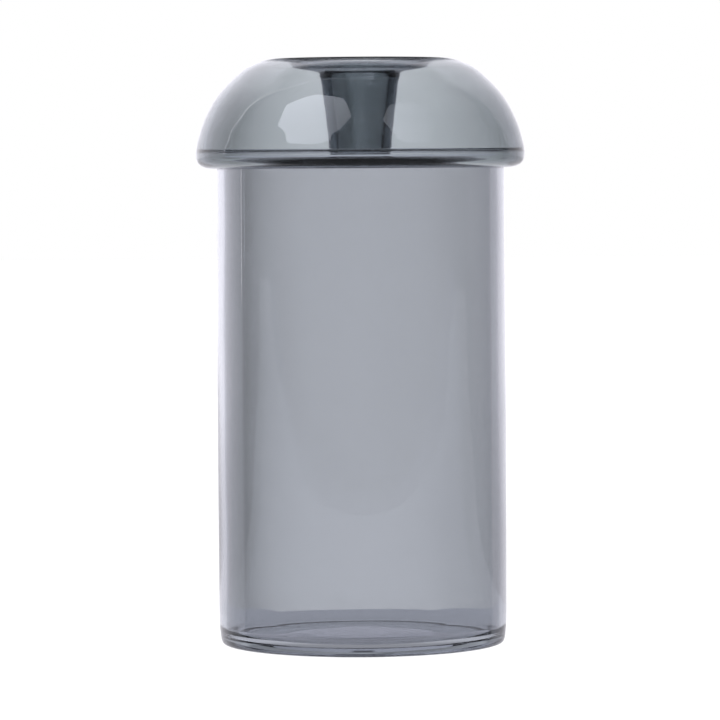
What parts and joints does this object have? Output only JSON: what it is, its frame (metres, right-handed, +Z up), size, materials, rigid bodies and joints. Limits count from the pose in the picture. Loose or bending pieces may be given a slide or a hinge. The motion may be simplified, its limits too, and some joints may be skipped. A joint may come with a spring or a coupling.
{
  "type": "glass cylinder vase with candle holder lid",
  "caption": "Tall straight smoke-grey glass vase with a lift-off hollow dome lid whose sunken socket holds a taper candle.",
  "frame": {"origin": "centre of the foot, on the surface that the vase stands on", "axes": "+Z up along the axis that both pieces are turned about; X and Y are alike"},
  "size_m": [0.12, 0.12, 0.2134],
  "materials": {
    "vase_glass": "smoke-grey clear glass, polished, thin straight wall",
    "lid_glass": "smoke-grey clear glass, polished, darker where it is thick"
  },
  "bodies": {
    "vase": {"vase_body": "vase_glass"},
    "dome": {"candle_dome_lid": "lid_glass"}
  },
  "joints": [
    {"name": "dome_lift", "type": "slide", "parent": "vase", "child": "dome", "axis": [0, 0, 1], "range_m": [0, 0.08]}
  ]
}
